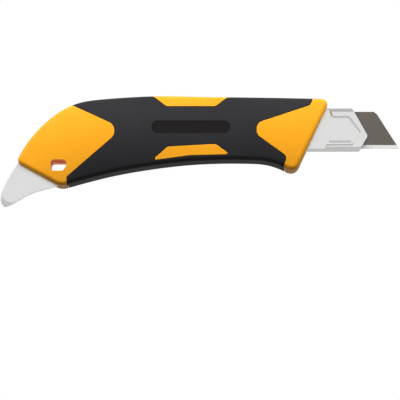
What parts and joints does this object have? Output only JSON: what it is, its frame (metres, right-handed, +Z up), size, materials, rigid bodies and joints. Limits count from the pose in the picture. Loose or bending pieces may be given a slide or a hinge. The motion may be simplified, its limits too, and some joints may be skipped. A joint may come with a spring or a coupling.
{
  "type": "utility knife",
  "caption": "Heavy-duty snap-off utility knife: yellow handle with black rubber grip, steel blade channel, screw wheel lock, steel tail pick and lanyard slot.",
  "frame": {"origin": "on the flat of the handle's back, in the middle of the grip and level with the middle of the blade", "axes": "+X from the blade to the tail, +Y out of the back (the lock wheel faces -Y), +Z up with the cutting edge down, as it is held to cut"},
  "size_m": [0.1909, 0.021, 0.0533],
  "materials": {
    "yellow_plastic": "satin glass-filled plastic",
    "black_grip": "matte elastomer",
    "label_black": "smooth dark inlay",
    "stainless": "satin stainless",
    "blade_black": "dark coated steel with a bright ground edge",
    "slider_dark": "dark grey moulding",
    "wheel_black": "satin black moulding",
    "brass": "plain brass",
    "spring_steel": "spring steel"
  },
  "bodies": {
    "handle": {"handle_body": "yellow_plastic", "grip_overmould": "black_grip", "label_inlay": "label_black", "blade_channel": "stainless", "tail_pick": "stainless"},
    "slider": {"slider_base": "slider_dark", "blade_stud": "wheel_black", "blade": "blade_black", "clamp_nut": "brass"},
    "clamp": {"thrust_washer": "stainless", "ratchet_spring": "spring_steel"},
    "wheel": {"lock_wheel": "wheel_black", "ratchet_ring": "wheel_black", "wheel_bolt": "brass"},
    "stop": {"rear_stop": "yellow_plastic", "stop_pad": "black_grip"}
  },
  "joints": [
    {"name": "blade_slide", "type": "slide", "parent": "handle", "child": "slider", "axis": [-1, 0, 0], "range_m": [-0.022, 0.058]},
    {"name": "clamp_lift", "type": "slide", "parent": "slider", "child": "clamp", "axis": [0, -1, 0], "range_m": [0, 0.000525]},
    {"name": "wheel_turn", "type": "hinge", "parent": "clamp", "child": "wheel", "pos_m": [0.0187, -0.018, 0], "axis": [0, -1, 0], "range_deg": [0, 270]},
    {"name": "stop_press", "type": "slide", "parent": "handle", "child": "stop", "axis": [0, 1, 0], "range_m": [0, 0.0014], "stiffness_N_per_m": 800}
  ],
  "couplings": [
    {"joint": "wheel_turn", "follows": "clamp_lift", "rad_per_m": 8976}
  ]
}
